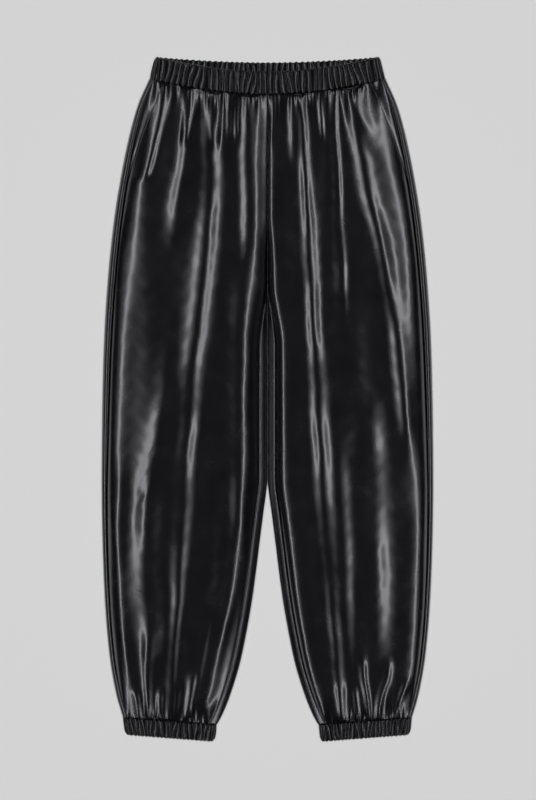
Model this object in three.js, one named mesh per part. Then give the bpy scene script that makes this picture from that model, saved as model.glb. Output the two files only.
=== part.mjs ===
// Pull-on balloon trousers in glossy black leather cloth, laid on their back with the front up.
// X runs across the garment, Y from the cuffs to the waist and Z up from the surface they lie on.
// The origin is on that surface, under the middle of the garment. All sizes are in millimetres.
// "right" and "left" are the wearer's, so the right leg lies on the -X side.
//
// Each leg is a low tube: a back panel lies flat on the surface, rolls up round both edges and ends
// in a seam on the upper side, and a fuller front panel spans between the seams. An elastic
// waistband and two elastic cuffs are shirred loops that gather the panels.

import * as THREE from "three";

// Driving dimensions
const CLOTH = 1.4; // the leather cloth with its knit backing
const SEAM_GAP = 0.3; // between pieces that are sewn together
const TOP = 479; // waist corners, from the middle of the garment
const WAIST_SEAM = { side: 446.5, middle: 424.5, half: 165, bend: 1.8, backRise: 14 };
const CUFF_SEAM = { inner: 71, outer: 202, innerY: -455, outerY: -445 };
const CROTCH = 166; // where the four leg panels meet
const ROLL = { body: 9.4, lessAtWaist: 2.0, lessAtCuff: 4.0, run: 30 };
const LIFT = { waist: 2.0, cuff: 1.4, run: 9 }; // panels rise to the middle of the bands
const PUFF = { waistRun: 38, cuffRun: 34, edgeRun: 21, middleRun: 24 };
const SEAM_DIP = { depth: 1.2, run: 3 };
const LOWEST_FRONT = 9; // the front panel never sinks nearer to the surface than this

// The outline of the garment, and how full its front is. half: middle to the outer edge.
// gap: middle to the leg's inner edge. crown: how far the front swells above its seams.
const SECTIONS = [
  { y: 447, half: 165.0, gap: 0, crown: 17 },
  { y: 412, half: 180.5, gap: 0, crown: 17 },
  { y: 370, half: 192.5, gap: 0, crown: 17 },
  { y: 320, half: 203.0, gap: 0, crown: 17 },
  { y: 260, half: 213.0, gap: 0, crown: 16.5 },
  { y: 190, half: 221.0, gap: 0, crown: 16 },
  { y: 100, half: 227.5, gap: 0, crown: 15.5 },
  { y: 0, half: 230.6, gap: 0, crown: 15 },
  { y: -110, half: 231.7, gap: 0, crown: 14.5 },
  { y: -160, half: 231.3, gap: 5.8, crown: 14 },
  { y: -205, half: 230.3, gap: 11.5, crown: 14 },
  { y: -246, half: 228.9, gap: 16.5, crown: 13.5 },
  { y: -288, half: 226.8, gap: 22.5, crown: 13 },
  { y: -330, half: 223.6, gap: 30.0, crown: 13 },
  { y: -372, half: 218.8, gap: 39.0, crown: 12 },
  { y: -414, half: 211.0, gap: 52.0, crown: 11 },
  { y: -440, half: 203.6, gap: 62.5, crown: 11 },
  { y: -456, half: 198.0, gap: 71.0, crown: 11 },
];

// How far the seams on the upper side lie inside the outline, from waist to cuff.
const OUTER_INSET = [
  { y: 447, inset: 6.0 },
  { y: 360, inset: 10.0 },
  { y: 180, inset: 11.0 },
  { y: 20, inset: 10.0 },
  { y: -150, inset: 7.5 },
  { y: -456, inset: 6.5 },
];
const INNER_INSET = { full: 11.5, reached: 95 }; // grows from the crotch downwards

// Long folds of the front. Each is a soft ridge with a crest through three points, as wide to its
// left and right as the row says, and highest in the middle of its length. A minus height is a
// trough between two ridges.
const FRONT_FOLDS = {
  right: [
    { y0: 428, x0: -112, y1: 372, x1: -111, y2: 300, x2: -122, left: 12, right: 15, high: 5.0 },
    { y0: 425, x0: -84, y1: 378, x1: -80, y2: 330, x2: -78, left: 11, right: 11, high: 3.5 },
    { y0: 400, x0: -84, y1: 120, x1: -97, y2: -400, x2: -136, left: 17, right: 16, high: 5.6 },
    { y0: 424, x0: -41, y1: 250, x1: -50, y2: -420, x2: -99, left: 24, right: 15, high: -4.8 },
    { y0: 424, x0: -22, y1: 300, x1: -24, y2: 110, x2: -20, left: 15, right: 13, high: 4.2 },
    { y0: 200, x0: -33, y1: -60, x1: -35, y2: -440, x2: -78, left: 16, right: 15, high: 4.8 },
    { y0: 60, x0: -146, y1: -190, x1: -166, y2: -430, x2: -160, left: 22, right: 24, high: 4.6 },
    { y0: -210, x0: -141, y1: -330, x1: -147, y2: -446, x2: -143, left: 12, right: 13, high: -5.0 },
  ],
  left: [
    { y0: 424, x0: 21, y1: 380, x1: 24, y2: 330, x2: 27, left: 10, right: 11, high: 4.2 },
    { y0: 400, x0: 50, y1: 120, x1: 68, y2: -400, x2: 98, left: 15, right: 17, high: 5.4 },
    { y0: 426, x0: 84, y1: 200, x1: 92, y2: -420, x2: 116, left: 22, right: 11, high: -6.0 },
    { y0: 428, x0: 97, y1: 260, x1: 108, y2: 40, x2: 118, left: 11, right: 17, high: 4.6 },
    { y0: 430, x0: 112, y1: 370, x1: 115, y2: 300, x2: 124, left: 9, right: 12, high: -4.5 },
    { y0: 430, x0: 130, y1: 330, x1: 141, y2: 160, x2: 156, left: 16, right: 15, high: 5.0 },
    { y0: 60, x0: 150, y1: -210, x1: 160, y2: -430, x2: 152, left: 22, right: 24, high: 4.6 },
    { y0: -210, x0: 128, y1: -330, x1: 134, y2: -446, x2: 128, left: 12, right: 12, high: -5.0 },
  ],
};

// Long grooves under the back: the cloth arches off the surface along them.
const BACK_FOLDS = [
  { y0: 424, x0: 24, y1: 250, x1: 30, y2: 20, x2: 34, wide: 11, high: 2.6 },
  { y0: 430, x0: 66, y1: 200, x1: 84, y2: -330, x2: 96, wide: 13, high: 3.0 },
  { y0: 434, x0: 108, y1: 260, x1: 132, y2: -40, x2: 150, wide: 12, high: 2.8 },
  { y0: 60, x0: 176, y1: -200, x1: 178, y2: -430, x2: 158, wide: 12, high: 2.8 },
  { y0: -60, x0: 60, y1: -260, x1: 74, y2: -450, x2: 102, wide: 11, high: 2.6 },
  { y0: 440, x0: 146, y1: 380, x1: 158, y2: 290, x2: 168, wide: 9, high: 2.4 },
];

// Gathers where a panel enters a band: waves over its width that die away from the seam.
const GATHERS = {
  waist: { waves: 6, high: 2.6, run: 34 },
  cuff: { waves: 4, high: 2.4, run: 30 },
};

// The slanting pocket mouth, from the waist seam to the side seam, and the facing behind it.
const POCKET = { topX: 143, topY: 444, endY: 302, sink: 2.6, under: 8, bow: 2.7 };
const FACING = { end: 0.93, gap: 0.45 }; // how far down its last row lies, and its seam gap

// A shirred elastic loop: room inside it, its wall, its height and its gathers.
const WAISTBAND = {
  halfTop: 157,
  halfLow: 164.6,
  wall: 4.6,
  room: 9.4,
  frontDip: 22.5,
  backDip: 8.5,
  ribs: 80,
  ribDepth: 1.1,
};
const CUFF = { high: 23.5, narrows: 0.035, wall: 3.6, room: 6.0, ribs: 36, ribDepth: 0.9 };
const STEPS_PER_RIB = 3;

// How finely the panels are laid out. Front, back and facing share their rows along a leg.
const GRID = { toPocketEnd: 6, below: 14, front: 32, roll: 5, flat: 13, facing: 4 };

const lerp = (a, b, t) => a + (b - a) * t;
const clamp01 = (t) => Math.min(1, Math.max(0, t));
const smooth = (t) => clamp01(t) ** 2 * (3 - 2 * clamp01(t));
const fade = (distance, run) => Math.exp(-Math.max(0, distance) / run);
const quarter = (t) => Math.sqrt(1 - (1 - clamp01(t)) ** 2); // a quarter circle's rise

// A smooth line through the rows of a table whose y falls from row to row.
function through(rows, key, y) {
  if (y >= rows[0].y) return rows[0][key];
  const last = rows.length - 1;
  if (y <= rows[last].y) return rows[last][key];
  let i = 0;
  while (rows[i + 1].y > y) i += 1;
  const slope = (a, b) => (rows[b][key] - rows[a][key]) / (rows[b].y - rows[a].y);
  const run = rows[i + 1].y - rows[i].y;
  const t = (y - rows[i].y) / run;
  const m0 = slope(Math.max(0, i - 1), i + 1) * run;
  const m1 = slope(i, Math.min(last, i + 2)) * run;
  const t2 = t * t;
  const t3 = t2 * t;
  return (
    (2 * t3 - 3 * t2 + 1) * rows[i][key] +
    (t3 - 2 * t2 + t) * m0 +
    (3 * t2 - 2 * t3) * rows[i + 1][key] +
    (t3 - t2) * m1
  );
}

const halfWidth = (y) => through(SECTIONS, "half", y);
const legGap = (y) => Math.max(SEAM_GAP / 2, through(SECTIONS, "gap", y));
const outerInset = (y) => through(OUTER_INSET, "inset", y);
const innerInset = (y) => INNER_INSET.full * smooth((CROTCH - y) / INNER_INSET.reached);
const legness = (y) => smooth((CROTCH + 90 - y) / 90); // 0 over the hips, 1 below the crotch
const fromMiddle = (x) => Math.min(1, Math.abs(x / WAIST_SEAM.half)) ** WAIST_SEAM.bend;
const waistSeam = (x) => lerp(WAIST_SEAM.middle, WAIST_SEAM.side, fromMiddle(x));
const backRise = (x) => WAIST_SEAM.backRise * (1 - fromMiddle(x)); // the back is cut higher
const cuffSeam = (x) =>
  lerp(
    CUFF_SEAM.innerY,
    CUFF_SEAM.outerY,
    (Math.abs(x) - CUFF_SEAM.inner) / (CUFF_SEAM.outer - CUFF_SEAM.inner),
  );

// Radius of the roll at the edges, and how far the panels rise to meet the bands.
function bandEffects(x, y, rise = 0) {
  const fromWaist = waistSeam(x) + rise - y;
  const fromCuff = y - cuffSeam(x);
  return {
    roll:
      ROLL.body -
      ROLL.lessAtWaist * fade(fromWaist, ROLL.run) -
      ROLL.lessAtCuff * fade(fromCuff, ROLL.run),
    lift: LIFT.waist * fade(fromWaist, LIFT.run) + LIFT.cuff * fade(fromCuff, LIFT.run),
    puff: (1 - fade(fromWaist, PUFF.waistRun)) * (1 - fade(fromCuff, PUFF.cuffRun)),
    waist: fade(fromWaist, GATHERS.waist.run),
    cuff: fade(fromCuff, GATHERS.cuff.run),
  };
}

// x of a fold's crest at height y: a parabola through its three points.
function crestX(f, y) {
  const a = ((y - f.y1) * (y - f.y2)) / ((f.y0 - f.y1) * (f.y0 - f.y2));
  const b = ((y - f.y0) * (y - f.y2)) / ((f.y1 - f.y0) * (f.y1 - f.y2));
  const c = ((y - f.y0) * (y - f.y1)) / ((f.y2 - f.y0) * (f.y2 - f.y1));
  return a * f.x0 + b * f.x1 + c * f.x2;
}

// A fold's height at a point: full along the middle of its length, and nothing past its ends.
function foldHeight(f, x, y) {
  if (y > f.y0 || y < f.y2) return 0;
  const d = x - crestX(f, y);
  const reach = d < 0 ? (f.left ?? f.wide) : (f.right ?? f.wide);
  const share = 1 - (d / reach) ** 2;
  if (share <= 0) return 0;
  const length = f.y0 - f.y2;
  const ends = smooth((f.y0 - y) / (0.22 * length)) * smooth((y - f.y2) / (0.28 * length));
  return f.high * share ** 2 * (0.25 + 0.75 * ends);
}

// Waves of the gathers across a panel, with round crests and narrow valleys.
const gatherWave = (share, waves) => Math.abs(Math.sin(Math.PI * waves * share)) - 0.6;

// Height of the upper side at a point of the plan, for the front panel and the rolled edges.
function upperHeight(side, x, y) {
  const a = Math.abs(x);
  const band = bandEffects(x, y);
  const fromOuter = halfWidth(y) - a;
  const fromInner = a - legGap(y);
  const leg = legness(y);
  const outerSeam = fromOuter - outerInset(y);
  const innerSeam = fromInner - innerInset(y);
  const outerRoll = band.roll * (1 + quarter(fromOuter / band.roll));
  const innerRoll = lerp(2 * band.roll, band.roll * (1 + quarter(fromInner / band.roll)), leg);
  const dip = lerp(0.3, 1, leg) * fade(innerSeam, PUFF.middleRun);
  const crown =
    through(SECTIONS, "crown", y) *
    band.puff *
    (1 - fade(outerSeam, PUFF.edgeRun)) *
    (1 - dip);
  const innerDip = smooth(innerInset(y) / ROLL.body) * fade(Math.abs(innerSeam), SEAM_DIP.run);
  const seams = SEAM_DIP.depth * band.puff * (fade(Math.abs(outerSeam), SEAM_DIP.run) + innerDip);
  const clear = (1 - fade(outerSeam, 9)) * (1 - fade(innerSeam, 9)); // folds end at the seams
  let folds = 0;
  for (const f of FRONT_FOLDS[side]) folds += foldHeight(f, x, y);
  const share = fromInner / (fromInner + fromOuter);
  const gathers =
    band.waist * GATHERS.waist.high * gatherWave(share, GATHERS.waist.waves) +
    band.cuff * GATHERS.cuff.high * gatherWave(share, GATHERS.cuff.waves);
  const offBands = 1 - fade(Math.min(waistSeam(x) - y, y - cuffSeam(x)), 5);
  const height =
    band.lift +
    Math.min(outerRoll, innerRoll) +
    crown -
    seams +
    clear * (folds * band.puff + gathers * offBands);
  return Math.max(innerSeam > 6 && outerSeam > 6 ? LOWEST_FRONT : 0, height);
}

// Height of the underside: flat on the surface, with grooves where the cloth arches off it.
function underHeight(side, x, y) {
  const a = Math.abs(x);
  const band = bandEffects(x, y, backRise(x));
  const shift = side === "left" ? 5 : 0; // the two backs crease a little differently
  let folds = 0;
  for (const f of BACK_FOLDS) folds += foldHeight(f, a - shift, y);
  const room = Math.min(halfWidth(y) - a, a - legGap(y)) - band.roll;
  return band.lift + folds * smooth(room / 14) * band.puff;
}

// The outward direction at each point of a grid, from its neighbours.
const outward = (grid) =>
  grid.map((row, i) =>
    row.map((p, j) => {
      const above = grid[Math.max(0, i - 1)][j];
      const below = grid[Math.min(grid.length - 1, i + 1)][j];
      const across = row[Math.min(row.length - 1, j + 1)].clone().sub(row[Math.max(0, j - 1)]);
      return across.cross(below.clone().sub(above)).normalize();
    }),
  );

// A closed wall from a grid of outer points. The inner points lie one thickness inside them.
function wall(grid, normals, thickness = CLOTH) {
  const rows = grid.length;
  const cols = grid[0].length;
  for (const row of [normals[0], normals[rows - 1]]) for (const n of row) n.setY(0).normalize();
  const inner = grid.map((row, i) =>
    row.map((p, j) => p.clone().addScaledVector(normals[i][j], -thickness)),
  );
  const outerAt = (i, j) => i * cols + j;
  const innerAt = (i, j) => rows * cols + i * cols + j;
  const index = [];
  const quad = (a, b, c, d) => index.push(a, b, c, a, c, d);
  for (let i = 0; i < rows - 1; i += 1)
    for (let j = 0; j < cols - 1; j += 1) {
      quad(outerAt(i, j), outerAt(i, j + 1), outerAt(i + 1, j + 1), outerAt(i + 1, j));
      quad(innerAt(i, j), innerAt(i + 1, j), innerAt(i + 1, j + 1), innerAt(i, j + 1));
    }
  const last = { row: rows - 1, col: cols - 1 };
  for (let j = 0; j < cols - 1; j += 1) {
    quad(outerAt(0, j), innerAt(0, j), innerAt(0, j + 1), outerAt(0, j + 1));
    quad(
      outerAt(last.row, j),
      outerAt(last.row, j + 1),
      innerAt(last.row, j + 1),
      innerAt(last.row, j),
    );
  }
  for (let i = 0; i < rows - 1; i += 1) {
    quad(outerAt(i, 0), outerAt(i + 1, 0), innerAt(i + 1, 0), innerAt(i, 0));
    quad(
      outerAt(i, last.col),
      innerAt(i, last.col),
      innerAt(i + 1, last.col),
      outerAt(i + 1, last.col),
    );
  }
  return solid([...grid.flat(), ...inner.flat()], index);
}

// A closed ring from sections that each go once round the wall.
function ring(sections) {
  const n = sections.length;
  const m = sections[0].length;
  const index = [];
  for (let i = 0; i < n; i += 1)
    for (let j = 0; j < m; j += 1) {
      const a = i * m + j;
      const b = i * m + ((j + 1) % m);
      const c = ((i + 1) % n) * m + ((j + 1) % m);
      const d = ((i + 1) % n) * m + j;
      index.push(a, b, c, a, c, d);
    }
  return solid(sections.flat(), index);
}

// A solid whose faces look outwards, whichever way round its points were listed.
function solid(points, index) {
  let volume = 0;
  for (let i = 0; i < index.length; i += 3) {
    const [a, b, c] = index.slice(i, i + 3).map((k) => points[k]);
    volume += a.dot(b.clone().cross(c));
  }
  const geometry = new THREE.BufferGeometry().setFromPoints(points);
  geometry.setIndex(volume > 0 ? index : index.reverse());
  geometry.computeVertexNormals();
  return geometry;
}

const signOf = { right: -1, left: 1 };

// Rows run from waist to cuff: closer together near the bands, with one at the pocket's end.
const POCKET_END_SHARE =
  (WAIST_SEAM.side - POCKET.endY) / (WAIST_SEAM.side - CUFF_SEAM.outerY);
const rowShares = [];
for (let i = 0; i <= GRID.toPocketEnd; i += 1)
  rowShares.push(POCKET_END_SHARE * (i / GRID.toPocketEnd) ** 1.25);
for (let i = 1; i <= GRID.below; i += 1)
  rowShares.push(lerp(1, POCKET_END_SHARE, (1 - i / GRID.below) ** 1.45));

// A point of the surface on row t. rule gives [distance from the middle, height] at height y.
function place(side, t, rule, onBack = false) {
  const rise = onBack ? 1 - smooth(t / 0.25) : 0;
  let a = 100;
  let y = 0;
  let z = 0;
  for (let turn = 0; turn < 8; turn += 1) {
    y = lerp(waistSeam(a) + rise * backRise(a) - SEAM_GAP, cuffSeam(a) + SEAM_GAP, t);
    [a, z] = rule(y);
  }
  return new THREE.Vector3(signOf[side] * a, y, z);
}
const onUpper = (side, a, y) => [a, upperHeight(side, signOf[side] * a, y)];

const sideSeam = (y) => halfWidth(y) - outerInset(y);
const inseam = (y) => legGap(y) + innerInset(y);

// The pocket mouth's slanting line, bowed a little towards the side.
function pocketLine(y) {
  const t = clamp01((POCKET.topY - y) / (POCKET.topY - POCKET.endY));
  return lerp(POCKET.topX, sideSeam(POCKET.endY), t) + 4 * POCKET.bow * t * (1 - t);
}

function frontGrid(side) {
  return rowShares.map((t, i) => {
    const edge = i < GRID.toPocketEnd ? pocketLine : sideSeam;
    const row = [];
    for (let j = 0; j <= GRID.front; j += 1)
      row.push(place(side, t, (y) => onUpper(side, lerp(inseam(y), edge(y), j / GRID.front), y)));
    return row;
  });
}

// The facing that shows between the pocket mouth and the side seam. It runs on under the mouth.
function facingGrid(side) {
  const shares = rowShares.slice(0, GRID.toPocketEnd + 1);
  const [above, end] = shares.slice(GRID.toPocketEnd - 1);
  shares[GRID.toPocketEnd] = lerp(above, end, FACING.end);
  return shares.map((t) => {
    const row = [];
    for (let j = 0; j <= GRID.facing; j += 1)
      row.push(
        place(side, t, (y) => {
          const mouth = pocketLine(y);
          const a = lerp(mouth - POCKET.under, sideSeam(y), j / GRID.facing);
          const rise = smooth((a - mouth) / Math.max(1, sideSeam(y) - mouth));
          return [a, onUpper(side, a, y)[1] - POCKET.sink * (1 - rise)];
        }),
      );
    return row;
  });
}

// Where a share of the way round a rolled edge lies, from its seam above to the surface below:
// how far in from the edge, and the angle round the roll (a quarter turn is the top).
function rolled(seam, radius, share) {
  const top = Math.acos(1 - Math.min(1, seam / radius));
  const level = Math.max(0, seam - radius);
  const gone = share * (level + radius * (top + Math.PI / 2));
  if (gone < level) return { inwards: seam - gone, angle: Math.PI / 2 };
  const angle = top - (gone - level) / radius;
  return { inwards: radius * (1 - Math.cos(angle)), angle };
}

// Back: from the inseam round the inner edge, along the surface, and up round the outer edge.
function backGrid(side) {
  const rolledPoint = (t, share, inner) =>
    place(
      side,
      t,
      (y) => {
        const middle = signOf[side] * (inner ? legGap(y) : halfWidth(y));
        const band = bandEffects(middle, y, backRise(middle));
        const full = inner ? legness(y) : 1;
        const { inwards, angle } = rolled(inner ? innerInset(y) : outerInset(y), band.roll, share);
        const a = inner ? legGap(y) + inwards : halfWidth(y) - inwards;
        if (angle > 0.001) return onUpper(side, a, y);
        return [a, band.lift + full * band.roll * (1 + Math.sin(angle))];
      },
      true,
    );
  const flatPoint = (t, share) =>
    place(
      side,
      t,
      (y) => {
        const inner = bandEffects(signOf[side] * legGap(y), y).roll;
        const outer = bandEffects(signOf[side] * halfWidth(y), y).roll;
        const a = lerp(legGap(y) + inner, halfWidth(y) - outer, share);
        return [a, underHeight(side, signOf[side] * a, y)];
      },
      true,
    );
  return rowShares.map((t) => {
    const row = [];
    for (let j = 0; j <= GRID.roll; j += 1) row.push(rolledPoint(t, j / GRID.roll, true));
    for (let j = 1; j < GRID.flat; j += 1) row.push(flatPoint(t, j / GRID.flat));
    for (let j = GRID.roll; j >= 0; j -= 1) row.push(rolledPoint(t, j / GRID.roll, false));
    return row;
  });
}

// The three walls of one leg. Along a shared seam both walls are as thick in one direction and
// each ends half a seam gap short, so that the pieces lie edge to edge.
function legWalls(side) {
  const turned = (grid) => (side === "left" ? grid.map((row) => row.reverse()) : grid);
  const front = turned(frontGrid(side));
  const facing = turned(facingGrid(side));
  const back = side === "right" ? backGrid(side).map((row) => row.reverse()) : backGrid(side);
  const ends = (row) => (side === "left" ? [row.length - 1, 0] : [0, row.length - 1]);
  const grids = { front, facing, back };
  const normals = { front: outward(front), facing: outward(facing), back: outward(back) };
  const [fIn, fOut] = ends(front[0]);
  const [gIn, gOut] = ends(facing[0]);
  const [bOut, bIn] = ends(back[0]);
  const join = (a, b) => {
    const shared = a.clone().add(b).normalize();
    a.copy(shared);
    b.copy(shared);
  };
  rowShares.forEach((t, i) => {
    if (i >= GRID.toPocketEnd) join(normals.front[i][fOut], normals.back[i][bOut]);
    else join(normals.facing[i][gOut], normals.back[i][bOut]);
    if (i === GRID.toPocketEnd) normals.facing[i][gOut].copy(normals.back[i][bOut]);
    const f = normals.front[i][fIn];
    const b = normals.back[i][bIn];
    const leg = legness(front[i][fIn].y);
    const shared = f.clone().add(b).normalize();
    f.setX(0).normalize().lerp(shared, leg).normalize();
    b.setX(0).normalize().lerp(shared, leg).normalize();
  });
  const shorten = (grid, column, length = SEAM_GAP / 2) => {
    const step = column === 0 ? 1 : -1;
    for (const row of grid)
      row[column].add(row[column + step].clone().sub(row[column]).setLength(length));
  };
  shorten(front, fIn);
  shorten(front, fOut);
  shorten(facing, gOut, FACING.gap);
  shorten(back, bIn);
  shorten(back, bOut);
  return {
    front: wall(grids.front, normals.front),
    facing: wall(grids.facing, normals.facing, CLOTH * 0.8),
    back: wall(grids.back, normals.back),
  };
}

// Once round the wall of a band: share of its height, depth through its wall, share of the rib.
const BAND_PROFILE = [
  { share: 0.02, depth: 0.62, rib: 0.3 },
  { share: 0.2, depth: 0.8, rib: 1 },
  { share: 0.75, depth: 0.8, rib: 1 },
  { share: 0.97, depth: 0.6, rib: 0.6 },
  { share: 0.99, depth: 0.1, rib: 0 },
  { share: 0.03, depth: 0.1, rib: 0 },
];

// A flattened elastic loop that is ribbed outside and plain inside. shape places a point from
// how far it is across, how high it is over the surface, its share of the band's height, and
// up: 1 on the upper half, -1 on the lower half and between them round the two ends.
function shirredLoop(band, wide, shape) {
  const flat = wide - band.room - 2 * band.wall;
  const bend = Math.PI * (band.room / 2 + band.wall / 2); // round one folded end
  const steps = band.ribs * STEPS_PER_RIB;
  const sections = [];
  for (let i = 0; i < steps; i += 1) {
    const s = (i / steps) * 2 * (flat + bend);
    const past = s % (flat + bend); // along one straight half and the bend after it
    const sign = s < flat + bend ? 1 : -1;
    const turn = Math.max(0, past - flat) / bend;
    const angle = (sign > 0 ? Math.PI / 2 : -Math.PI / 2) - Math.PI * turn;
    const middle = sign * (Math.min(past, flat) - flat / 2);
    const wave = 2 * Math.abs(Math.sin((Math.PI * i) / STEPS_PER_RIB)) - 1;
    const section = BAND_PROFILE.map(({ share, depth, rib }) => {
      const out = band.room / 2 + band.wall * depth + band.ribDepth * wave * rib;
      const over = band.room / 2 + band.wall + Math.sin(angle) * out;
      return shape(middle + Math.cos(angle) * out, Math.max(0, over), share, Math.sin(angle));
    });
    sections.push(section);
  }
  return ring(sections);
}

function waistband() {
  const { halfTop, halfLow, frontDip, backDip } = WAISTBAND;
  return shirredLoop(WAISTBAND, 2 * halfTop, (across, over, share, up) => {
    const x = (across * lerp(halfLow, halfTop, share)) / halfTop;
    const front = (up + 1) / 2;
    const low = waistSeam(x) + (1 - front) * backRise(x);
    const top = TOP - lerp(backDip, frontDip, front) * (1 - fromMiddle(x));
    return new THREE.Vector3(x, lerp(low, top, share), over);
  });
}

function cuff(side) {
  const wide = CUFF_SEAM.outer - CUFF_SEAM.inner;
  const middle = (CUFF_SEAM.outer + CUFF_SEAM.inner) / 2;
  return shirredLoop(CUFF, wide, (across, over, share) => {
    const a = middle + across * (1 - CUFF.narrows * (1 - share));
    return new THREE.Vector3(signOf[side] * a, cuffSeam(a) - CUFF.high * (1 - share), over);
  });
}

const leather = (color, roughness) => new THREE.MeshStandardMaterial({ color, roughness, metalness: 0 });
const panelLeather = leather(0x17171a, 0.34);
const bandLeather = leather(0x141416, 0.38);

const trousers = new THREE.Group();
trousers.name = "trousers";
function add(name, geometry, material) {
  const mesh = new THREE.Mesh(geometry, material);
  mesh.name = name;
  trousers.add(mesh);
}
for (const side of ["right", "left"]) {
  const { front, facing, back } = legWalls(side);
  add(`${side}_front`, front, panelLeather);
  add(`${side}_back`, back, panelLeather);
  add(`${side}_pocket_facing`, facing, panelLeather);
  add(`${side}_cuff`, cuff(side), bandLeather);
}
add("waistband", waistband(), bandLeather);

export default trousers;
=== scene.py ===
import math

import bpy
import numpy as np
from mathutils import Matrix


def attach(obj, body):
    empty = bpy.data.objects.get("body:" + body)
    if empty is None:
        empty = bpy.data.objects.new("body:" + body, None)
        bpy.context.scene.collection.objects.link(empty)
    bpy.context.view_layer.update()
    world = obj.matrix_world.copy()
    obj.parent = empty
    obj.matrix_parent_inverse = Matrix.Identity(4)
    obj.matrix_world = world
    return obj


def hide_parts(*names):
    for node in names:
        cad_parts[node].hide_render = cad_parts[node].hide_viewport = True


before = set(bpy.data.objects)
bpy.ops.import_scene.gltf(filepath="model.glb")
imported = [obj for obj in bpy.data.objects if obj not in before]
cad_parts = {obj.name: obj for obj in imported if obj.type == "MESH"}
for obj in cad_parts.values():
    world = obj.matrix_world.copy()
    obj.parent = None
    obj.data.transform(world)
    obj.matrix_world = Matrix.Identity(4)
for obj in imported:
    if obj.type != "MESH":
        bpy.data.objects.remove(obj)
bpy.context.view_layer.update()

# The camera hangs straight above the trousers, as for a picture of clothes laid on a table,
# and its long lens takes in a field of 750 by 1120 mm. Up in the picture is +Y.
MM = 0.001
CAMERA_HEIGHT = 3.6
CAMERA_SHIFT = (0.0007, -0.0014)
FIELD_LENGTH = 1.12
camera_data = bpy.data.cameras.new("overhead_camera")
camera_data.sensor_fit = "VERTICAL"
camera_data.sensor_height = 24.0
camera_data.lens = camera_data.sensor_height * CAMERA_HEIGHT / FIELD_LENGTH
camera = bpy.data.objects.new("overhead_camera", camera_data)
camera.location = (*CAMERA_SHIFT, CAMERA_HEIGHT)
bpy.context.collection.objects.link(camera)
bpy.context.scene.camera = camera

# The table is a pale matt surface. It belongs to the scene and not to the garment.
TABLE_SIZE = 9.0
TABLE_DROP = 0.0002
bpy.ops.mesh.primitive_plane_add(size=TABLE_SIZE, location=(0, 0, -TABLE_DROP))
table = bpy.context.object
table.name = "pale_table"
table_finish = bpy.data.materials.new("pale_table")
table_finish.use_nodes = True
table_shader = table_finish.node_tree.nodes["Principled BSDF"]
table_shader.inputs["Base Color"].default_value = (0.74, 0.74, 0.74, 1)
table_shader.inputs["Roughness"].default_value = 0.9
table_shader.inputs["Specular IOR Level"].default_value = 0.2
table.data.materials.append(table_finish)

# Two long narrow softboxes stand left and right of the table, each in the middle of a dimmer
# wing, and a fold shows one of them on either flank. A dim scrim overhead greys the flat tops,
# and a fill that the gloss doesn't show lights the table evenly. The room stays dark.
SOFTBOX = {"out": 1.5, "up": 1.95, "wide": 0.27, "long": 6.4, "watts": 30.0}
WING = {"wide": 1.7, "watts": 8.5}
SCRIM = {"up": 4.3, "wide": 1.7, "long": 6.0, "watts": 1.3}
FILL = {"up": 6.0, "wide": 1.8, "long": 2.2, "watts": 327.0}


def area_light(name, place, turn, size, watts):
    data = bpy.data.lights.new(name, "AREA")
    data.shape = "RECTANGLE"
    data.size, data.size_y = size
    data.energy = watts
    lamp = bpy.data.objects.new(name, data)
    lamp.location = place
    lamp.rotation_euler = (0, turn, 0)
    lamp.visible_camera = False
    bpy.context.collection.objects.link(lamp)
    return lamp


for name, sign in (("left", -1), ("right", 1)):
    place = (sign * SOFTBOX["out"], 0, SOFTBOX["up"])
    turn = sign * math.atan2(SOFTBOX["out"], SOFTBOX["up"])
    for kind, light in (("softbox", SOFTBOX), ("wing", WING)):
        size = (light["wide"], SOFTBOX["long"])
        panel = area_light(f"{kind}_{name}", place, turn, size, light["watts"])
        panel.visible_diffuse = False
area_light("overhead_scrim", (0, 0, SCRIM["up"]), 0, (SCRIM["wide"], SCRIM["long"]), SCRIM["watts"])
fill = area_light("overhead_fill", (0, 0, FILL["up"]), 0, (FILL["wide"], FILL["long"]), FILL["watts"])
fill.visible_glossy = False
room = bpy.data.worlds.new("dim_room")
room.use_nodes = True
room_light = room.node_tree.nodes["Background"]
room_light.inputs["Color"].default_value = (0.95, 0.97, 1.0, 1)
room_light.inputs["Strength"].default_value = 0.003
bpy.context.scene.world = room
bpy.context.scene.view_settings.view_transform = "Standard"


# The cloth is polyurethane leather on a knit backing: near black with a slight plum cast, a
# tight glossy film, and a fine pebble grain pressed into it.
FILM = {"tint": (0.945, 0.935, 1.0, 1), "coat_share": 0.3, "coat_roughness": 0.15}
TONE = {"scale": 14.0, "detail": 3.0, "darker": 0.7, "lighter": 1.35}
RUBBED = {"scale": 38.0, "detail": 4.0}
PORES = {"to_a_pebble": 2.4, "detail": 2.0, "share": 0.4}
GRAIN_STRENGTH = 0.1


def noise(nodes, link, place, scale, detail):
    texture = nodes.new("ShaderNodeTexNoise")
    texture.inputs["Scale"].default_value = scale
    texture.inputs["Detail"].default_value = detail
    link(place.outputs["Object"], texture.inputs["Vector"])
    return texture.outputs["Fac"]


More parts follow.
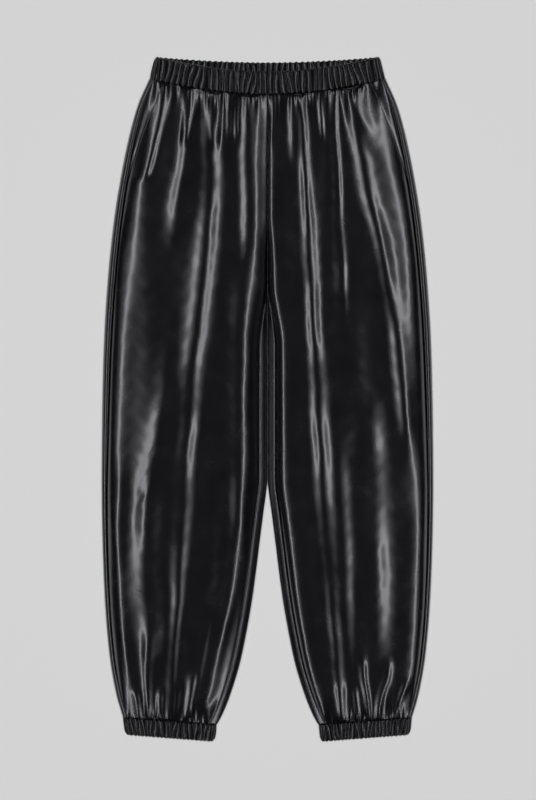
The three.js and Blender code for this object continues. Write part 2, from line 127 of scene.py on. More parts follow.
def leather(name, colour, shine, gloss_low, gloss_high, grain_mm, grain_depth):
    finish = bpy.data.materials.new(name)
    finish.use_nodes = True
    nodes = finish.node_tree.nodes
    link = finish.node_tree.links.new
    shader = nodes["Principled BSDF"]
    shader.inputs["Specular IOR Level"].default_value = shine
    shader.inputs["Specular Tint"].default_value = FILM["tint"]
    shader.inputs["Coat Weight"].default_value = FILM["coat_share"] * shine
    shader.inputs["Coat Roughness"].default_value = FILM["coat_roughness"]
    place = nodes.new("ShaderNodeTexCoord")
    # slow changes of tone, as the film varies from roll to fold
    tone = noise(nodes, link, place, TONE["scale"], TONE["detail"])
    colours = nodes.new("ShaderNodeValToRGB")
    colours.color_ramp.elements[0].position = 0.3
    colours.color_ramp.elements[0].color = (*[TONE["darker"] * c for c in colour], 1)
    colours.color_ramp.elements[1].position = 0.75
    colours.color_ramp.elements[1].color = (*[TONE["lighter"] * c for c in colour], 1)
    link(tone, colours.inputs["Fac"])
    link(colours.outputs["Color"], shader.inputs["Base Color"])
    # rubbed areas are a little duller or glossier than the rest
    rubbed = noise(nodes, link, place, RUBBED["scale"], RUBBED["detail"])
    gloss = nodes.new("ShaderNodeMapRange")
    gloss.inputs["From Min"].default_value = 0.3
    gloss.inputs["From Max"].default_value = 0.7
    gloss.inputs["To Min"].default_value = gloss_low
    gloss.inputs["To Max"].default_value = gloss_high
    link(rubbed, gloss.inputs["Value"])
    link(gloss.outputs["Result"], shader.inputs["Roughness"])
    # pebble grain, with finer pores on it
    pebbles = nodes.new("ShaderNodeTexVoronoi")
    pebbles.feature = "SMOOTH_F1"
    pebbles.inputs["Scale"].default_value = 1 / (grain_mm * MM)
    pebbles.inputs["Smoothness"].default_value = 0.6
    link(place.outputs["Object"], pebbles.inputs["Vector"])
    pores = noise(nodes, link, place, PORES["to_a_pebble"] / (grain_mm * MM), PORES["detail"])
    both = nodes.new("ShaderNodeMix")
    both.inputs[0].default_value = PORES["share"]
    link(pebbles.outputs["Distance"], both.inputs[2])
    link(pores, both.inputs[3])
    grain = nodes.new("ShaderNodeBump")
    grain.inputs["Strength"].default_value = GRAIN_STRENGTH
    grain.inputs["Distance"].default_value = grain_depth * MM
    link(both.outputs[0], grain.inputs["Height"])
    link(grain.outputs["Normal"], shader.inputs["Normal"])
    return finish


panel_leather = leather("panel_leather", (0.0018, 0.0017, 0.0023), 0.96, 0.22, 0.28, 1.1, 0.1)
# The bands get a copy of the same leather with a darker colour and less shine than the panels' copy: painted
# shade that darkens the bands and dims their reflections.
band_leather = leather("band_leather", (0.0012, 0.0011, 0.0015), 0.42, 0.19, 0.27, 1.0, 0.1)

# Front panels: one piece of leather cloth for each leg, from the waist seam to the cuff seam.
# Each is cut fuller than the seams that it hangs between, so it stands up as a soft tube, and
# it is gathered into both bands. Sizes in this and the later sections are in millimetres.
CLOTH = 1.2
SEAM_GAP = 0.3
WAIST_SEAM = {"side": 446.5, "middle": 424.5, "half": 165.0, "bend": 1.8, "back_rise": 14.0}
CUFF_SEAM = {"inner": 71.0, "outer": 202.0, "inner_y": -455.0, "outer_y": -445.0}
CROTCH = 166.0
ROLL = {"body": 9.4, "less_at_waist": 2.0, "less_at_cuff": 4.0, "run": 30.0}
LIFT = {"waist": 3.0, "cuff": 1.4, "run": 9.0}
PUFF = {"waist_run": 38.0, "cuff_run": 34.0, "leg_edge_run": 9.0, "hip_end": 180.0, "hip_fade": 300.0}
HIP_EDGE_RUN = {-1: 20.0, 1: 13.0}
MIDDLE_RUN = {-1: 22.0, 1: 4.5}
SEAM_DIP = {"depth": 1.5, "run": 2.2}
LOWEST_FRONT = 9.0
SEAM_REACH = 4.0
SEAM_CLEAR = 9.0
ALLOWANCE = {"high": 0.5, "out": 5.5, "wide": 2.6}
UNEVEN = {"high": 1.3, "along": 0.14, "size": 24.0, "fine_high": 0.12, "fine_size": 9.0}
WAIST_GATHERS = {"pitch": 7.9, "high": 1.3, "run": 10.0, "slow_high": 1.0, "slow_run": 26.0}
CUFF_GATHERS = {"pitch": 6.1, "high": 0.9, "run": 8.0, "slow_high": 0.9, "slow_run": 20.0}
SLOW_PITCH = 19.0

# The outline, from waist to cuff: y, the middle to the outer edge, the middle to the leg's
# inner edge, and how far the front swells above its seams.
SECTIONS = np.array(
    [
        (447, 165.0, 0.0, 17.0),
        (412, 180.5, 0.0, 17.0),
        (370, 192.5, 0.0, 17.0),
        (320, 203.0, 0.0, 17.0),
        (260, 213.0, 0.0, 16.5),
        (190, 221.0, 0.0, 16.0),
        (100, 227.5, 0.0, 15.5),
        (0, 230.6, 0.0, 15.0),
        (-110, 231.7, 0.0, 14.5),
        (-160, 231.3, 5.8, 14.0),
        (-205, 230.3, 11.5, 14.0),
        (-246, 228.9, 16.5, 13.5),
        (-288, 226.8, 22.5, 13.0),
        (-330, 223.6, 30.0, 13.0),
        (-372, 218.8, 39.0, 12.0),
        (-414, 211.0, 52.0, 11.0),
        (-440, 203.6, 62.5, 11.0),
        (-456, 198.0, 71.0, 11.0),
    ]
)
# How far the side seam lies inside the outline: y, inset.
OUTER_INSET = np.array([(447, 6.0), (360, 10.0), (180, 11.0), (20, 10.0), (-150, 7.5), (-456, 6.5)])
INNER_INSET = {"full": 11.5, "reached": 95.0}
POCKET = {"top_x": 143.0, "top_y": 444.0, "end_y": 302.0, "sink": 3.0, "under": 8.0, "bow": 2.7}

# Folds of the front panels: soft ridges, each steeper on one flank. The crest runs through four
# points, from the top down. Then come the widths of the left and right flanks at the top and at
# the end, the height, the lengths over which it rises and dies away, and how flat its top is
# (2 is round, 3 and more is a flat-topped pleat).
FOLD_COLUMNS = "y0 x0 y1 x1 y2 x2 y3 x3 left right end_left end_right high rise fall flat".split()
RIGHT_FOLDS = [
    (430, -146, 384, -153, 335, -162, 296, -175, 24, 9, 14, 7, 5.6, 12, 20, 2),
    (431, -112, 400, -112, 372, -114, 344, -117, 9, 9, 4, 4, 2.7, 10, 22, 3),
    (404, -106, 335, -113, 279, -121, 190, -134, 9, 20, 14, 26, 4.9, 50, 80, 2),
    (424, -80, 279, -80, -1, -108, -300, -127, 14, 12, 18, 12, 5.3, 70, 160, 2),
    (-160, -119, -260, -124, -360, -131, -452, -136, 11, 9, 7, 5, 3.2, 120, 8, 2),
    (429, -74, 400, -73, 370, -72, 338, -71, 14, 12, 4, 4, 4.0, 10, 26, 3),
    (426, -52, 405, -53, 380, -54, 356, -55, 4, 6, 3, 3, 1.6, 8, 20, 2),
    (426, -41, 400, -42, 380, -43, 350, -44, 5, 4, 3, 3, 1.8, 8, 22, 2),
    (426, -20, 350, -21, 270, -21, 150, -24, 16, 15, 12, 12, 4.3, 10, 90, 3),
    (235, -30, -1, -33, -225, -44, -434, -86, 23, 23, 9, 8, 8.2, 120, 24, 2),
    (240, -127, 55, -134, -169, -166, -424, -156, 14, 36, 17, 22, 6.6, 400, 110, 2),
    (-60, -203, -180, -208, -300, -204, -420, -186, 8, 12, 7, 7, 2.4, 80, 60, 2),
    (-260, -70, -320, -76, -380, -88, -440, -100, 7, 12, 6, 9, 2.2, 60, 20, 2),
    (-370, -100, -395, -104, -425, -110, -452, -117, 8, 6, 5, 4, 2.6, 26, 8, 2),
    (-385, -124, -405, -126, -430, -128, -452, -130, 5, 7, 3, 4, 1.9, 26, 8, 2),
    (-395, -148, -412, -149, -430, -150, -452, -151, 6, 5, 4, 4, 2.0, 20, 8, 2),
    (-300, -167, -370, -168, -410, -168, -450, -166, 7, 11, 4, 5, 2.6, 60, 8, 2),
    (-398, -186, -412, -183, -430, -180, -450, -178, 6, 5, 4, 3, 1.7, 16, 6, 2),
]
LEFT_FOLDS = [
    (426, 7, 400, 7, 376, 6, 344, 4, 5, 4, 3, 3, 2.2, 8, 22, 2),
    (430, 33, 390, 35, 349, 37, 310, 38, 8, 17, 6, 10, 3.4, 10, 50, 2),
    (429, 46, 279, 54, -1, 70, -300, 90, 6, 6, 13, 16, 5.8, 10, 160, 2),
    (-180, 82, -260, 88, -360, 96, -452, 104, 10, 12, 6, 6, 3.2, 120, 8, 2),
    (430, 71, 405, 73, 385, 75, 352, 77, 5, 4, 3, 3, 1.7, 8, 22, 2),
    (430, 91, 307, 97, 209, 102, 80, 108, 9, 5, 14, 6, 2.5, 10, 110, 2),
    (431, 110, 307, 136, 139, 172, -130, 204, 10, 11, 11, 12, 4.4, 10, 130, 2),
    (434, 118, 399, 128, 370, 138, 330, 150, 12, 15, 8, 10, 4.8, 10, 60, 2),
    (60, 140, -120, 147, -225, 149, -390, 150, 36, 20, 26, 16, 6.0, 140, 120, 2),
    (-40, 112, -150, 118, -260, 122, -400, 124, 14, 20, 10, 14, 3.2, 100, 60, 2),
    (-385, 101, -405, 102, -425, 104, -453, 106, 8, 8, 4, 4, 1.6, 20, 8, 3),
    (-390, 120, -410, 122, -430, 124, -453, 126, 5, 4, 4, 3, 1.7, 20, 8, 2),
    (-350, 133, -385, 134, -415, 138, -453, 143, 7, 5, 4, 4, 2.4, 26, 8, 2),
    (-350, 169, -385, 166, -415, 158, -453, 152, 9, 6, 5, 4, 2.7, 30, 8, 2),
    (-380, 200, -402, 191, -425, 182, -451, 178, 7, 8, 4, 4, 2.6, 24, 8, 2),
]
# Short creases pressed into the cloth: centre, angle, length, width, depth.
CREASE_COLUMNS = "x y turn long wide deep".split()
RIGHT_CREASES = [
    (-158, -73, 62, 22, 2.6, 0.15),
    (-168, -104, 38, 34, 3.0, 0.22),
    (-168, -132, 66, 52, 3.4, -0.28),
    (-207, 30, 22, 12, 2.0, 0.3),
]
LEFT_CREASES = [
    (172, 147, -8, 24, 2.2, 0.4),
    (190, 17, 4, 24, 2.2, 0.35),
    (152, -264, -6, 26, 2.4, 0.4),
    (176, 141, -14, 16, 2.0, 0.3),
]
FRONT_GRID = (118, 410)


def smooth(t):
    t = np.clip(t, 0, 1)
    return t * t * (3 - 2 * t)


def mix(a, b, t):
    return a + (b - a) * t


def fade(distance, run):
    return np.exp(-np.maximum(0, distance) / run)


def quarter(t):
    return np.sqrt(1 - (1 - np.clip(t, 0, 1)) ** 2)


def through(ys, values, y):
    """A smooth line through values at falling ys."""
    rows = np.clip(np.searchsorted(-ys, -y, side="right") - 1, 0, len(ys) - 2)
    slopes = np.array(
        [
            (values[min(i + 1, len(ys) - 1)] - values[max(i - 1, 0)])
            / (ys[min(i + 1, len(ys) - 1)] - ys[max(i - 1, 0)])
            for i in range(len(ys))
        ]
    )
    run = ys[rows + 1] - ys[rows]
    t = np.clip((y - ys[rows]) / run, 0, 1)
    t2 = t * t
    t3 = t2 * t
    return (
        (2 * t3 - 3 * t2 + 1) * values[rows]
        + (t3 - 2 * t2 + t) * slopes[rows] * run
        + (3 * t2 - 2 * t3) * values[rows + 1]
        + (t3 - t2) * slopes[rows + 1] * run
    )


def ripple(x, y, size, seed):
    """Smooth uneven variation between about -1 and 1, in waves of about this size."""
    u = x / size
    v = y / size
    return 0.5 * (
        np.sin(1.9 * u + 1.3 * np.sin(1.1 * v + seed) + 2.1 * seed)
        + np.sin(2.3 * v + 1.7 * np.sin(1.4 * u - 0.7 * seed) + 1.3 * seed)
    )


def half_width(y):
    return through(SECTIONS[:, 0], SECTIONS[:, 1], y)


def leg_gap(y):
    return np.maximum(SEAM_GAP / 2, through(SECTIONS[:, 0], SECTIONS[:, 2], y))


def outer_inset(y):
    return through(OUTER_INSET[:, 0], OUTER_INSET[:, 1], y)


def inner_inset(y):
    return INNER_INSET["full"] * smooth((CROTCH - y) / INNER_INSET["reached"])


def legness(y):
    return smooth((CROTCH + 90 - y) / 90)


def side_seam(y):
    return half_width(y) - outer_inset(y)


def from_middle(x):
    return np.minimum(1, np.abs(x / WAIST_SEAM["half"])) ** WAIST_SEAM["bend"]


def waist_seam(x):
    return mix(WAIST_SEAM["middle"], WAIST_SEAM["side"], from_middle(x))


def back_rise(x):
    return WAIST_SEAM["back_rise"] * (1 - from_middle(x))


def cuff_seam(x):
    wide = CUFF_SEAM["outer"] - CUFF_SEAM["inner"]
    return mix(CUFF_SEAM["inner_y"], CUFF_SEAM["outer_y"], (np.abs(x) - CUFF_SEAM["inner"]) / wide)


def band_effects(x, y, rise=0.0):
    """Radius of the rolled edges, and how the panels rise and swell away from the bands."""
    from_waist = waist_seam(x) + rise - y
    from_cuff = y - cuff_seam(x)
    at_waist = fade(from_waist, ROLL["run"])
    at_cuff = fade(from_cuff, ROLL["run"])
    roll = ROLL["body"] - ROLL["less_at_waist"] * at_waist - ROLL["less_at_cuff"] * at_cuff
    lift = LIFT["waist"] * fade(from_waist, LIFT["run"]) + LIFT["cuff"] * fade(from_cuff, LIFT["run"])
    puff = (1 - fade(from_waist, PUFF["waist_run"])) * (1 - fade(from_cuff, PUFF["cuff_run"]))
    return roll, lift, puff, from_waist, from_cuff


def fold_height(row, x, y, from_waist, from_cuff):
    """A fold whose first or last point lies past a seam's middle starts or ends in that seam."""
    f = dict(zip(FOLD_COLUMNS, row))
    ys = np.array([f["y0"], f["y1"], f["y2"], f["y3"]], float)
    xs = np.array([f["x0"], f["x1"], f["x2"], f["x3"]], float)
    crest = through(ys, xs, y) + 0.9 * ripple(y, 0 * y, 34, f["x1"])
    along = np.clip((ys[0] - y) / (ys[0] - ys[3]), 0, 1)
    left = mix(f["left"], f["end_left"], along)
    right = mix(f["right"], f["end_right"], along)
    vary = 1 + 0.16 * ripple(y, 0 * y, 46, f["x2"])
    wide = np.where(x < crest, left, right) * (1 - 0.5 * (vary - 1))
    share = np.exp(-(np.abs((x - crest) / wide) ** f["flat"]))
    full = max(f["left"] + f["right"], f["end_left"] + f["end_right"])
    start = from_waist + SEAM_REACH if ys[0] > WAIST_SEAM["middle"] else ys[0] - y
    stop = from_cuff + SEAM_REACH if ys[3] < CUFF_SEAM["outer_y"] else y - ys[3]
    ends = smooth(start / f["rise"]) * smooth(stop / f["fall"])
    return f["high"] * vary * ((left + right) / full) ** 0.8 * share * ends


def crease_height(row, x, y):
    c = dict(zip(CREASE_COLUMNS, row))
    turn = math.radians(c["turn"])
    u = (x - c["x"]) * math.cos(turn) + (y - c["y"]) * math.sin(turn)
    v = (y - c["y"]) * math.cos(turn) - (x - c["x"]) * math.sin(turn)
    v = v + 0.8 * np.sin(u / 6 + c["x"])
    near = np.exp(-((v / c["wide"]) ** 2)) - 0.45 * np.exp(-(((v - 1.6 * c["wide"]) / c["wide"]) ** 2))
    return -c["deep"] * near * np.clip(1 - (2 * u / c["long"]) ** 2, 0, 1)


def band_gathers(row, at, slow, distance, swell):
    fine = np.sin(2 * math.pi * at / row["pitch"]) * (0.55 + 0.45 * swell)
    near = row["high"] * fine * fade(distance, row["run"])
    return near + row["slow_high"] * slow * fade(distance, row["slow_run"])


def puckers(x, from_waist, from_cuff, seed):
    """Small gathers right at the bands, one to a rib, and slower ones that reach a little further."""
    at = x + 2.2 * np.sin(x / 17 + seed) + 1.3 * np.sin(x / 7.3 + 2 * seed)
    slow = np.sin(2 * math.pi * at / SLOW_PITCH + seed)
    waist = band_gathers(WAIST_GATHERS, at, slow, from_waist, np.sin(x / 11 + 3 * seed))
    cuff = band_gathers(CUFF_GATHERS, at, slow, from_cuff, np.sin(x / 9 + 5 * seed))
    return waist + cuff


def upper_height(side, a, y):
    """Height of the upper side, a to the side of the middle line."""
    x = side * a
    roll, lift, puff, from_waist, from_cuff = band_effects(a, y)
    from_outer = half_width(y) - a
    from_inner = a - leg_gap(y)
    leg = legness(y)
    outer_seam = from_outer - outer_inset(y)
    inner_seam = from_inner - inner_inset(y)
    outer_roll = roll * (1 + quarter(from_outer / roll))
    # the strip inside the inseam climbs steadily, so that only the seam itself catches the light
    climb = np.clip(from_inner / (inner_inset(y) + 1.5), 0, 1)
    inner_rise = mix(quarter(from_inner / roll), climb, 0.7 * leg)
    inner_roll = mix(2 * roll, roll * (1 + inner_rise), leg)
    dip = mix(0.3, 1, leg) * fade(inner_seam, MIDDLE_RUN[side])
    crown = through(SECTIONS[:, 0], SECTIONS[:, 3], y) * puff
    edge_run = mix(HIP_EDGE_RUN[side], PUFF["leg_edge_run"], smooth((PUFF["hip_end"] - y) / PUFF["hip_fade"]))
    edge_run = edge_run * (1 + 0.25 * ripple(y, 0 * y, 70, 1.1 * side))
    crown = crown * (1 - fade(outer_seam, edge_run)) * (1 - dip)
    inner_dip = smooth(inner_inset(y) / ROLL["body"]) * fade(np.abs(inner_seam), SEAM_DIP["run"])
    middle_dip = (1 - leg) * fade(inner_seam, SEAM_DIP["run"])
    outer_dip = fade(np.abs(outer_seam), SEAM_DIP["run"])
    seams = SEAM_DIP["depth"] * puff * (outer_dip + 0.4 * inner_dip + middle_dip)
    # the seam allowance is pressed outwards, which pads the strip beside the seam
    from_allowance = (outer_seam + ALLOWANCE["out"]) / ALLOWANCE["wide"]
    allowance = ALLOWANCE["high"] * puff * np.exp(-(from_allowance**2))
    clear = (1 - fade(outer_seam, SEAM_CLEAR)) * (1 - fade(inner_seam, SEAM_CLEAR))
    fold_rows = RIGHT_FOLDS if side < 0 else LEFT_FOLDS
    crease_rows = RIGHT_CREASES if side < 0 else LEFT_CREASES
    folds = sum(fold_height(row, x, y, from_waist, from_cuff) for row in fold_rows)
    creases = sum(crease_height(row, x, y) for row in crease_rows)
    broad = UNEVEN["high"] * ripple(x, UNEVEN["along"] * y, UNEVEN["size"], 1.7 * side)
    uneven = broad + UNEVEN["fine_high"] * ripple(x, y, UNEVEN["fine_size"], 2.9 * side)
    off_bands = 1 - 0.6 * fade(np.minimum(from_waist, from_cuff), 2)
    gathers = puckers(x, from_waist, from_cuff, 1.3 * side) * off_bands
    near_bands = 1 - 0.3 * np.maximum(fade(from_waist, 4), fade(from_cuff, 4))
    body = clear * (folds * near_bands + creases + uneven * puff + gathers)
    height = lift + np.minimum(outer_roll, inner_roll) + crown - seams + allowance + body
    inside = (inner_seam > 6) & (outer_seam > 6)
    return np.maximum(np.where(inside, LOWEST_FRONT, 0), height)


def crowded(t):
    """Rows that lie closer together near the bands."""
    return t - 0.045 * np.sin(2 * math.pi * t)


def plan_rows(share_to_a, t, on_back=False):
    """Places a grid on the plan: t runs from the waist seam to the cuff seam."""
    rise = (1 - smooth(t / 0.25)) if on_back else 0 * t
    a = np.full_like(t, 100.0)
    for _ in range(9):
        y = mix(waist_seam(a) + rise * back_rise(a) - SEAM_GAP, cuff_seam(a) + SEAM_GAP, t)
        a = share_to_a(y)
    return a, y


def inseam(y):
    return leg_gap(y) + inner_inset(y)


def pocket_line(y):
    t = np.clip((POCKET["top_y"] - y) / (POCKET["top_y"] - POCKET["end_y"]), 0, 1)
    end = float(side_seam(np.array([POCKET["end_y"]]))[0])
    return mix(POCKET["top_x"], end, t) + 4 * POCKET["bow"] * t * (1 - t)


def front_edge(y):
    return np.where(y > POCKET["end_y"], np.minimum(pocket_line(y), side_seam(y)), side_seam(y))


def new_piece(name, x, y, z, quads):
    """A mesh from a grid of points in millimetres. It is the active piece, and selected alone."""
    points = np.stack([x, y, z], axis=-1).reshape(-1, 3) * MM
    mesh = bpy.data.meshes.new(name)
    mesh.from_pydata(points.tolist(), [], quads.reshape(-1, 4).tolist())
    mesh.update()
    piece = bpy.data.objects.new(name, mesh)
    bpy.context.collection.objects.link(piece)
    for other in bpy.context.selected_objects:
        other.select_set(False)
    bpy.context.view_layer.objects.active = piece
    piece.select_set(True)
    return piece


def finish_piece(piece, node, finish):
    bpy.ops.object.shade_smooth()
    piece.data.materials.append(finish)
    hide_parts(node)
    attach(piece, "root")


def grid_piece(name, node, x, y, z, thickness, finish, outward_up=True):
    """A sheet of cloth from a grid of outer points, with its wall added inside."""
    rows, cols = x.shape
    at = np.arange(rows * cols).reshape(rows, cols)
    quads = np.stack([at[:-1, :-1], at[:-1, 1:], at[1:, 1:], at[1:, :-1]], axis=-1)
    piece = new_piece(name, x, y, z, quads)
    middle = piece.data.polygons[(rows // 2) * (cols - 1) + cols // 2].normal.z
    if (middle > 0) != outward_up:
        piece.data.flip_normals()
    wall = piece.modifiers.new("wall", "SOLIDIFY")
    wall.thickness = thickness * MM
    wall.offset = -1.0
    bpy.ops.object.modifier_apply(modifier=wall.name)
    finish_piece(piece, node, finish)
    return piece


SIDES = (("right", -1), ("left", 1))
for word, side in SIDES:
    across, along = FRONT_GRID
    t, share = np.meshgrid(np.linspace(0, 1, along + 1), np.linspace(0, 1, across + 1), indexing="ij")
    t = crowded(t)
    margin = SEAM_GAP / 2
    a, y = plan_rows(lambda y: mix(inseam(y) + margin, front_edge(y) - margin, share), t)
    z = upper_height(side, a, y)
    front = grid_piece(f"{word}_front_cloth", f"{word}_front", side * a, y, z, CLOTH, panel_leather)

# Back panels: one for each leg. They carry the garment. Each lies flat on the table, arches off
# it in a few long grooves, and rolls up round both edges to the seams on the upper side.
BACK_FOLDS = [
    (436, 24, 330, 27, 180, 32, 20, 34, 9, 8, 8, 8, 2.6, 12, 120, 2),
    (440, 66, 200, 84, -60, 92, -330, 96, 10, 8, 9, 10, 3.0, 12, 130, 2),
    (442, 108, 300, 128, 130, 142, -40, 150, 10, 8, 8, 9, 2.8, 12, 120, 2),
    (60, 176, -120, 179, -290, 172, -436, 158, 10, 8, 6, 7, 2.8, 130, 14, 2),
    (-60, 60, -200, 68, -330, 82, -450, 102, 9, 8, 6, 7, 2.6, 120, 12, 2),
    (442, 146, 400, 154, 350, 163, 290, 168, 8, 6, 5, 6, 2.4, 12, 50, 2),
    (432, 44, 404, 46, 376, 48, 340, 50, 7, 6, 3, 3, 2.0, 10, 40, 2),
    (438, 88, 410, 92, 384, 95, 350, 98, 7, 6, 3, 3, 2.0, 10, 40, 2),
    (-360, 126, -390, 126, -420, 128, -448, 130, 7, 6, 3, 3, 2.0, 40, 10, 2),
    (-380, 92, -405, 98, -425, 106, -449, 112, 6, 5, 2, 3, 1.8, 30, 10, 2),
    (-370, 186, -395, 180, -420, 174, -446, 170, 7, 6, 3, 3, 2.0, 34, 10, 2),
]
BACK_FOLD_SHIFT = {-1: 0.0, 1: 5.0}
BACK_ROLL_STEPS = 16
BACK_GRID = (78, 300)


def under_height(side, a, y):
    roll, lift, puff, from_waist, from_cuff = band_effects(a, y, back_rise(a))
    at = a - BACK_FOLD_SHIFT[side]
    folds = sum(fold_height(row, at, y, from_waist, from_cuff) for row in BACK_FOLDS)
    gathers = np.maximum(0, puckers(side * a, from_waist, from_cuff, 2.1 * side))
    uneven = 0.25 * np.maximum(0, ripple(side * a, 0.4 * y, 23, 2.3 * side))
    room = smooth((np.minimum(half_width(y) - a, a - leg_gap(y)) - roll) / 14)
    near_bands = 1 - 0.6 * np.maximum(fade(from_waist, 7), fade(from_cuff, 7))
    off_bands = 1 - fade(np.minimum(from_waist, from_cuff), 4)
    return lift + room * (folds * near_bands + uneven * puff + gathers * off_bands)


def rolled(seam, radius, share):
    """How far in from the edge, and the angle round the roll, at a share of the way round it."""
    top = np.arccos(1 - np.minimum(1, seam / radius))
    level = np.maximum(0, seam - radius)
    gone = share * (level + radius * (top + math.pi / 2))
    angle = np.where(gone < level, math.pi / 2, top - (gone - level) / radius)
    inwards = np.where(gone < level, seam - gone, radius * (1 - np.cos(angle)))
    return inwards, angle


def back_roll(side, t, share, inner):
    """Points round one rolled edge, from its seam to the surface."""
    state = {}

    def place(y):
        edge = leg_gap(y) if inner else half_width(y)
        roll, lift, *_ = band_effects(edge, y, back_rise(edge))
        inset = inner_inset(y) if inner else outer_inset(y)
        inwards, angle = rolled(np.maximum(0, inset - SEAM_GAP / 2), roll, share)
        full = legness(y) if inner else 1.0
        state["roll"] = lift + full * roll * (1 + np.sin(np.minimum(angle, 0)))
        state["angle"] = angle
        return edge + inwards if inner else edge - inwards

    a, y = plan_rows(place, t, on_back=True)
    z = np.where(state["angle"] > 0.001, upper_height(side, a, y), state["roll"])
    return a, y, z


for word, side in SIDES:
    flat_steps, along = BACK_GRID
    rows = crowded(np.linspace(0, 1, along + 1))
    t, share = np.meshgrid(rows, np.linspace(0, 1, BACK_ROLL_STEPS + 1), indexing="ij")
    inner_strip = back_roll(side, t, share, True)
    outer_strip = back_roll(side, t, share[:, ::-1], False)
    t, share = np.meshgrid(rows, np.linspace(0, 1, flat_steps + 1)[1:-1], indexing="ij")

    def flat_part(y):
        edge_in, edge_out = leg_gap(y), half_width(y)
        roll_in = band_effects(edge_in, y)[0]
        roll_out = band_effects(edge_out, y)[0]
        return mix(edge_in + roll_in, edge_out - roll_out, share)

    a, y = plan_rows(flat_part, t, on_back=True)
    flat_strip = (a, y, under_height(side, a, y))
    a, y, z = (np.hstack(parts) for parts in zip(inner_strip, flat_strip, outer_strip))
    back = grid_piece(
        f"{word}_back_cloth", f"{word}_back", side * a, y, z, CLOTH, panel_leather, outward_up=False
    )

# Pocket facings: the triangle of outer cloth that shows behind each slanting pocket mouth. It is
# sewn into the side seam and runs on under the mouth, a little lower than the front.
FACING_GRID = (20, 90)
FACING = {"reach": 0.985, "wall": 0.8 * CLOTH}
for word, side in SIDES:
    across, along = FACING_GRID
    end = (WAIST_SEAM["side"] - POCKET["end_y"]) / (WAIST_SEAM["side"] - CUFF_SEAM["outer_y"])
    t, share = np.meshgrid(
        np.linspace(0, FACING["reach"] * end, along + 1), np.linspace(0, 1, across + 1), indexing="ij"
    )
    a, y = plan_rows(lambda y: mix(pocket_line(y) - POCKET["under"], side_seam(y) - SEAM_GAP / 2, share), t)
    mouth = pocket_line(y)
    rise = smooth((a - mouth) / np.maximum(1, side_seam(y) - mouth))
    z = upper_height(side, a, y) - POCKET["sink"] * (1 - rise)
    node = f"{word}_pocket_facing"
    facing = grid_piece(f"{word}_facing_cloth", node, side * a, y, z, FACING["wall"], panel_leather)

# Waistband: a tunnel of the same cloth round a wide elastic. Unstretched, it draws up into
# uneven upright ribs. Its back half stands higher, so its inner side shows over the front.
TOP = 479.0
WAISTBAND = {
    "half_top": 157.0,
    "half_low": 164.6,
    "wall": 4.6,
    "room": 9.4,
    "front_dip": 22.5,
    "back_dip": 8.5,
    "ribs": 84,
    "rib_depth": 1.2,
    "samples": 14,
}
# Once round the wall of a band, from the seam up the outside, over the top and down inside:
# share of the height, depth through the wall, and how much of the ribs shows.
BAND_PROFILE = np.array(
    [
        (0.0, 0.66, 0.5),
        (0.008, 0.78, 0.8),
        (0.03, 0.84, 1.0),
        (0.13, 0.82, 1.0),
        (0.25, 0.86, 1.05),
        (0.38, 0.88, 1.0),
        (0.5, 0.88, 1.0),
        (0.62, 0.88, 1.0),
        (0.74, 0.86, 1.05),
        (0.85, 0.82, 1.0),
        (0.93, 0.74, 0.9),
        (0.975, 0.6, 0.7),
        (1.0, 0.42, 0.5),
        (0.985, 0.22, 0.6),
        (0.93, 0.12, 0.7),
        (0.8, 0.07, 0.8),
        (0.6, 0.05, 0.8),
        (0.4, 0.05, 0.8),
        (0.2, 0.07, 0.7),
        (0.05, 0.12, 0.4),
        (0.005, 0.25, 0.2),
    ]
)


def refine(profile, times):
    """A closed profile with points added evenly between its rows."""
    n = len(profile)
    at = np.arange(n * times) / times
    low = at.astype(int)
    part = (at - low)[:, None]
    return profile[low % n] * (1 - part) + profile[(low + 1) % n] * part


def rib_shape(u):
    return 2 * (1 - (1 - u) ** 3.2) * (1 - np.clip((u - 0.8) / 0.2, 0, 1) ** 2) - 1


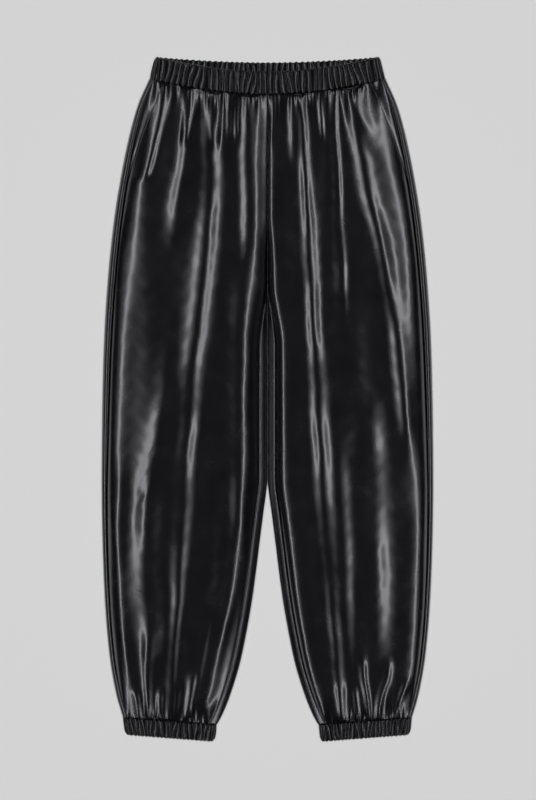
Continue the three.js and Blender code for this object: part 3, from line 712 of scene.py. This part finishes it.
def shirred_loop(name, node, band, wide, shape, finish, seed):
    """A flattened loop with uneven ribs. shape places a point as in the section's own terms."""
    flat = wide - band["room"] - 2 * band["wall"]
    bend = math.pi * (band["room"] / 2 + band["wall"] / 2)
    steps = band["ribs"] * band["samples"]
    profile = refine(BAND_PROFILE, 2)
    i, j = np.meshgrid(np.arange(steps), np.arange(len(profile)), indexing="ij")
    share, depth, shows = (profile[j, k] for k in range(3))
    s = i / steps
    # ribs lean, fork and vary: the phase drifts along the loop and up the band
    lap = 2 * math.pi * s
    drift = 0.16 * np.sin(5 * lap + seed) + 0.07 * np.sin(17 * lap + 2 * seed)
    lean = (share - 0.5) * (0.45 * np.sin(7 * lap + 3 * seed) + 0.25 * np.sin(19 * lap + seed))
    phase = np.mod(s * band["ribs"] + drift + lean, 1)
    # a rib rises gently on one flank and tucks in sharply on the other, which changes slowly
    facing = smooth(0.5 + 2.5 * np.sin(3 * lap + seed + 0.8 * np.sin(11 * lap)))
    wave = mix(rib_shape(phase), rib_shape(1 - phase), facing)
    strength = 0.8 + 0.2 * np.sin(13 * lap + 5 * share + seed)
    fork = 0.1 * np.sin(2 * math.pi * (s * band["ribs"] + 3 * share) * 1.9 + seed)
    rib = band["rib_depth"] * (wave * strength + fork * np.sin(math.pi * share))
    total = 2 * (flat + bend)
    place = s * total
    past = np.mod(place, flat + bend)
    sign = np.where(place < flat + bend, 1.0, -1.0)
    angle = sign * math.pi / 2 - math.pi * np.maximum(0, past - flat) / bend
    middle = sign * (np.minimum(past, flat) - flat / 2)
    # the inner face shows the same ribs the other way round
    outside = depth > 0.3
    out = band["room"] / 2 + band["wall"] * depth + np.where(outside, rib, -0.9 * rib) * shows
    out = np.maximum(out, band["room"] / 2 - 1.4)
    over = np.maximum(0, band["room"] / 2 + band["wall"] + np.sin(angle) * out)
    at_edges = (share > 0.9) | (share < 0.03)
    crumple = 0.6 * np.sin(2 * math.pi * (s * band["ribs"] + drift)) * at_edges
    x, y, z = shape(middle + np.cos(angle) * out, over, share, np.sin(angle), crumple)
    at = np.arange(steps * len(profile)).reshape(steps, len(profile))
    right = np.roll(at, -1, axis=0)
    quads = np.stack([at, np.roll(at, -1, 1), np.roll(right, -1, 1), right], axis=-1)
    piece = new_piece(name, x, y, z, quads)
    bpy.ops.object.mode_set(mode="EDIT")
    bpy.ops.mesh.select_all(action="SELECT")
    bpy.ops.mesh.normals_make_consistent(inside=False)
    bpy.ops.object.mode_set(mode="OBJECT")
    finish_piece(piece, node, finish)
    return piece


def waistband_shape(across, over, share, up, crumple):
    b = WAISTBAND
    x = across * mix(b["half_low"], b["half_top"], share) / b["half_top"]
    front = (up + 1) / 2
    low = waist_seam(x) + (1 - front) * back_rise(x)
    top = TOP - mix(b["back_dip"], b["front_dip"], front) * (1 - from_middle(x))
    return x, mix(low, top, share) + crumple, over


waistband = shirred_loop(
    "waistband_cloth",
    "waistband",
    WAISTBAND,
    2 * WAISTBAND["half_top"],
    waistband_shape,
    band_leather,
    0.7,
)

# Cuffs: the same shirred tunnel round a narrower elastic, at the end of each leg. The ribs are
# finer than the waistband's, and the lower corners are rounded off.
CUFF = {
    "high": 23.5,
    "narrows": 0.035,
    "rounds": 0.035,
    "wall": 3.6,
    "room": 6.0,
    "ribs": 46,
    "rib_depth": 0.9,
    "samples": 14,
}
CUFF_WIDE = CUFF_SEAM["outer"] - CUFF_SEAM["inner"]
CUFF_MIDDLE = (CUFF_SEAM["outer"] + CUFF_SEAM["inner"]) / 2
for word, side in SIDES:

    def cuff_shape(across, over, share, up, crumple):
        # share 1 is the free edge of the profile, so the cuff is built from its seam downwards
        rounded = 1 - CUFF["narrows"] * share - CUFF["rounds"] * share**6
        a = CUFF_MIDDLE + across * rounded
        y = cuff_seam(a) - CUFF["high"] * share - crumple
        return side * a, y, over

    cuff = shirred_loop(
        f"{word}_cuff_cloth", f"{word}_cuff", CUFF, CUFF_WIDE, cuff_shape, band_leather, 1.9 + side
    )
